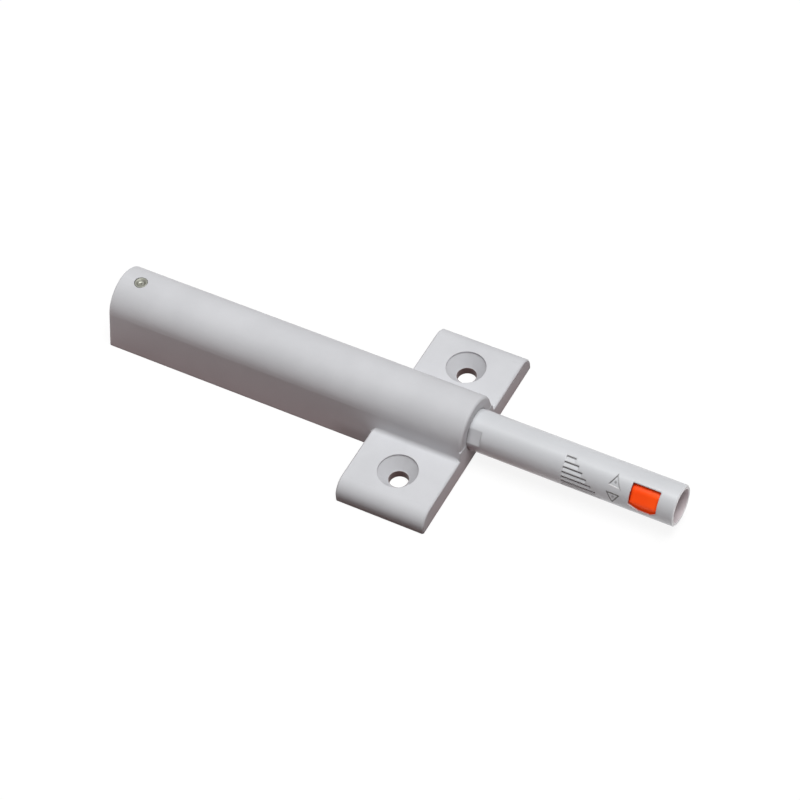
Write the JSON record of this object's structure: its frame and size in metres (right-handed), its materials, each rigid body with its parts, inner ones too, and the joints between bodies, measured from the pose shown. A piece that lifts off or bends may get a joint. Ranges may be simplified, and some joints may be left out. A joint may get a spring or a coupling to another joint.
{
  "type": "push to open catch",
  "caption": "Surface-mounted push latch: a round-backed barrel on a cross plate with countersunk holes, a sprung sliding plunger and a turning length adjuster.",
  "frame": {"origin": "midway between the two screw holes, on the flat mounting face", "axes": "+X along the plunger and out of the mouth, +Y along the line of the screw holes, +Z out of the mounting face towards the crown of the barrel"},
  "size_m": [0.1378, 0.0514, 0.0144],
  "materials": {
    "grey_plastic": "light grey, fine satin",
    "plunger_plastic": "light grey, smooth satin",
    "orange_plastic": "smooth",
    "plug_plastic": "mid grey",
    "pin_steel": "bright turned",
    "spring_steel": "drawn wire",
    "holder_plastic": "mid grey",
    "magnet_metal": "nickel plated"
  },
  "bodies": {
    "barrel": {"housing": "grey_plastic", "rear_plug": "plug_plastic", "anchor_pin": "pin_steel", "return_spring": "spring_steel"},
    "follower": {"follower_wire": "spring_steel"},
    "slider": {"plunger": "plunger_plastic", "nose_bush": "plunger_plastic"},
    "sleeve": {"adjuster": "orange_plastic"},
    "tip": {"tip_holder": "holder_plastic", "tip_magnet": "magnet_metal"}
  },
  "joints": [
    {"name": "plunger_slide", "type": "slide", "parent": "barrel", "child": "slider", "axis": [1, 0, 0], "range_m": [-0.037, 0], "stiffness_N_per_m": 250, "springref_m": 0.012, "deforming": ["return_spring"]},
    {"name": "follower_swing", "type": "hinge", "parent": "barrel", "child": "follower", "pos_m": [-0.0733, 0, 0.01225], "axis": [0, 0, 1], "range_deg": [-4.06, 0]},
    {"name": "adjuster_turn", "type": "hinge", "parent": "slider", "child": "sleeve", "pos_m": [0.05, 0, 0.00705], "axis": [1, 0, 0], "range_deg": [0, 1080]},
    {"name": "tip_slide", "type": "slide", "parent": "slider", "child": "tip", "axis": [1, 0, 0], "range_m": [0, 0.0045]}
  ],
  "couplings": [
    {"joint": "adjuster_turn", "follows": "tip_slide", "rad_per_m": 4188.8}
  ]
}
